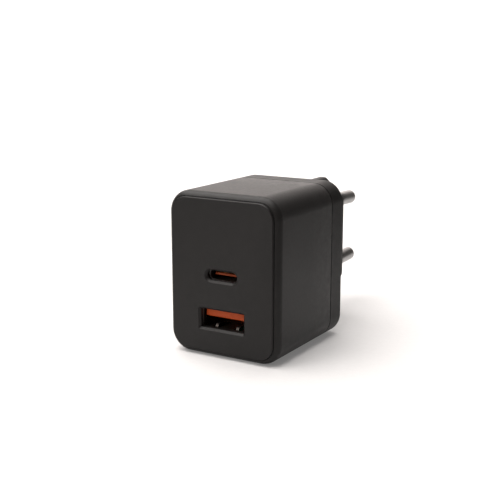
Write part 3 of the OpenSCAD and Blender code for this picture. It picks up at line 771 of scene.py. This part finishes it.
def stage_point(u, v, h):
    """A point u to the right of the object, v behind it along the view, h above the floor (metres)."""
    return RIGHT * u + AHEAD * v + Vector((0.0, 0.0, FLOOR_Z + h))


def look(ob, direction):
    ob.rotation_euler = direction.to_track_quat("-Z", "Y").to_euler()


cam = bpy.data.cameras.new("camera")
cam.sensor_width = 36.0
cam.lens = 938.658 * 36.0 / 500.0
cam.clip_start = 0.01
cam.clip_end = 20.0
camo = bpy.data.objects.new("camera", cam)
scene.collection.objects.link(camo)
camo.location = CAM
look(camo, FWD)
scene.camera = camo


def flat_mat(name, colour, rough=0.6, strength=0.0):
    m = Mat(name)
    b = m.bsdf
    b.inputs["Roughness"].default_value = rough
    b.inputs["Specular IOR Level"].default_value = 0.2
    col = m.mix_color(m.ramp(m.noise(3.0, 2.0, 0.5), 0.3, 0.7, 0.0, 1.0), colour, tuple(c * 0.99 for c in colour))
    m.link(col, b.inputs["Base Color"])
    if strength:
        m.link(col, b.inputs["Emission Color"])
        b.inputs["Emission Strength"].default_value = strength
    return m.m


def quad(name, pts, mat):
    me = bpy.data.meshes.new(name)
    me.from_pydata([tuple(p) for p in pts], [], [tuple(range(len(pts)))])
    ob = bpy.data.objects.new(name, me)
    scene.collection.objects.link(ob)
    me.materials.append(mat)
    return ob


def paper(name):
    """Pale seamless paper on a light table: white round the object, with painted shade turning it grey to the right,
    towards the front and far to the left, and a painted glow that is off there and grows towards the back.
    """
    m = Mat(name)
    b = m.bsdf
    b.inputs["Roughness"].default_value = 0.75
    b.inputs["Specular IOR Level"].default_value = 0.15
    sep = m.node("ShaderNodeSeparateXYZ")
    m.link(m.coord.outputs["Object"], sep.inputs["Vector"])
    x, y = sep.outputs["X"], sep.outputs["Y"]
    u = m.add(m.add(x, RIGHT.x, "MULTIPLY"), m.add(y, RIGHT.y, "MULTIPLY"))
    v = m.add(m.add(x, AHEAD.x, "MULTIPLY"), m.add(y, AHEAD.y, "MULTIPLY"))
    side = m.add(m.add(u, 0.0167), m.add(m.add(v, 0.266), -0.26, "MULTIPLY"))          # distance to the right of the bright area
    right = m.node("ShaderNodeMapRange", interpolation_type="SMOOTHSTEP")
    right.inputs["From Min"].default_value = 0.002
    right.inputs["From Max"].default_value = 0.045
    m.link(side, right.inputs["Value"])
    near = m.node("ShaderNodeMapRange", interpolation_type="SMOOTHSTEP")
    near.inputs["From Min"].default_value = -0.118
    near.inputs["From Max"].default_value = -0.142
    m.link(v, near.inputs["Value"])
    nr = m.node("ShaderNodeMapRange", interpolation_type="SMOOTHSTEP")
    nr.inputs["From Min"].default_value = -0.09
    nr.inputs["From Max"].default_value = -0.01
    m.link(u, nr.inputs["Value"])
    left = m.node("ShaderNodeMapRange", interpolation_type="SMOOTHSTEP")
    left.inputs["From Min"].default_value = 0.025
    left.inputs["From Max"].default_value = 0.160
    left.inputs["To Max"].default_value = 0.90
    outside = m.add(m.add(u, 0.0209), m.add(m.add(v, 0.266), 0.28, "MULTIPLY"))          # minus the distance to the left of the bright area
    m.link(m.add(outside, -1.0, "MULTIPLY"), left.inputs["Value"])
    # painted shade: in these zones the floor's colour goes to grey and its glow goes out
    painted_shade_mask = m.add(right.outputs["Result"], m.add(near.outputs["Result"], nr.outputs["Result"], "MULTIPLY"), "MAXIMUM")
    painted_shade_mask = m.add(painted_shade_mask, left.outputs["Result"], "MAXIMUM")
    fibre = m.ramp(m.noise(900.0, 3.0, 0.6), 0.3, 0.7, 0.0, 1.0)
    white = m.mix_color(fibre, (0.52, 0.513, 0.509), (0.54, 0.533, 0.529))
    m.link(m.mix_color_into(painted_shade_mask, white, FLOOR_DIM), b.inputs["Base Color"])
    # painted glow: emission that rises towards the back
    far = m.node("ShaderNodeMapRange", interpolation_type="SMOOTHSTEP")
    far.inputs["From Min"].default_value = 0.06
    far.inputs["From Max"].default_value = 0.45
    far.inputs["To Min"].default_value = FLOOR_GLOW
    far.inputs["To Max"].default_value = 0.55
    m.link(v, far.inputs["Value"])
    m.link(m.add(m.add(1.0, painted_shade_mask, "SUBTRACT"), far.outputs["Result"], "MULTIPLY"), b.inputs["Emission Strength"])
    b.inputs["Emission Color"].default_value = (1.0, 0.985, 0.975, 1.0)
    return m.m


def backdrop_paper(name):
    """The upright paper: glowing white behind the object, with painted shade fading it to grey well outside the picture
    on the right, and a glow that drops higher up.
    """
    m = Mat(name)
    b = m.bsdf
    b.inputs["Roughness"].default_value = 0.8
    b.inputs["Specular IOR Level"].default_value = 0.2
    col = m.mix_color(m.ramp(m.noise(3.0, 2.0, 0.5), 0.3, 0.7, 0.0, 1.0), (1.0, 0.945, 0.918), (0.99, 0.936, 0.909))
    sep = m.node("ShaderNodeSeparateXYZ")
    m.link(m.coord.outputs["Object"], sep.inputs["Vector"])
    u = m.add(m.add(sep.outputs["X"], RIGHT.x, "MULTIPLY"), m.add(sep.outputs["Y"], RIGHT.y, "MULTIPLY"))
    fade = m.node("ShaderNodeMapRange", interpolation_type="SMOOTHSTEP")
    fade.inputs["From Min"].default_value = 0.23
    fade.inputs["From Max"].default_value = 0.60
    fade.inputs["To Min"].default_value = 1.13
    fade.inputs["To Max"].default_value = BACK_DIM
    m.link(u, fade.inputs["Value"])
    high = m.node("ShaderNodeMapRange", interpolation_type="SMOOTHSTEP")
    high.inputs["From Min"].default_value = FLOOR_Z + 0.125
    high.inputs["From Max"].default_value = FLOOR_Z + 0.200
    high.inputs["To Min"].default_value = 1.0
    high.inputs["To Max"].default_value = BACK_HIGH
    m.link(sep.outputs["Z"], high.inputs["Value"])
    # painted shade: glow and colour fall off to the right, and the glow drops higher up
    glow = m.add(fade.outputs["Result"], high.outputs["Result"], "MULTIPLY")
    m.link(m.mix_color_into(m.add(1.0, fade.outputs["Result"], "SUBTRACT", True), col, (0.12, 0.115, 0.11)), b.inputs["Base Color"])
    m.link(col, b.inputs["Emission Color"])
    m.link(glow, b.inputs["Emission Strength"])
    return m.m


# painted light on floor and backdrop: BACK_DIM and BACK_HIGH set the backdrop's glow far to the right and higher up,
# FLOOR_DIM is the grey of the floor's painted shade, FLOOR_GLOW the floor's painted glow near the object
BACK_DIM = 0.12
BACK_HIGH = 0.40
FLOOR_DIM = (0.36, 0.36, 0.36)
FLOOR_GLOW = 0.15
floor = quad("floor", [stage_point(1.6 * math.cos(2 * math.pi * i / 64), 1.6 * math.sin(2 * math.pi * i / 64), -0.00004) for i in range(64)], paper("seamless_paper"))
backdrop = quad("backdrop", [stage_point(-0.50, 0.62, 0.0), stage_point(1.30, 0.62, 0.0), stage_point(1.30, 0.62, 0.72), stage_point(-0.50, 0.62, 0.72)],
                backdrop_paper("backdrop_white"))

world = bpy.data.worlds.new("studio")
scene.world = world
world.use_nodes = True
bg = world.node_tree.nodes["Background"]
bg.inputs["Color"].default_value = (1.0, 0.98, 0.96, 1.0)
bg.inputs["Strength"].default_value = 0.10


def area(name, loc, target, size, power, colour=(1, 1, 1), size_y=None, spread=180.0):
    l = bpy.data.lights.new(name, "AREA")
    l.shape = "RECTANGLE" if size_y else "SQUARE"
    l.size = size
    if size_y:
        l.size_y = size_y
    l.energy = power
    l.color = colour
    l.spread = math.radians(spread)
    o = bpy.data.objects.new(name, l)
    scene.collection.objects.link(o)
    o.location = loc
    look(o, (Vector(target) - Vector(loc)))
    return o


area("overhead_soft", stage_point(-0.16, 0.02, 0.55), stage_point(0.0, 0.0, 0.02), 0.72, 9.4, (1.0, 0.965, 0.945))
area("left_fill", stage_point(-0.34, -0.26, 0.16), stage_point(0.0, -0.02, 0.01), 0.26, 0.50, (1.0, 0.97, 0.95))

scene.view_settings.view_transform = "Standard"
scene.view_settings.look = "None"
scene.view_settings.exposure = 0.0
scene.view_settings.gamma = 1.0
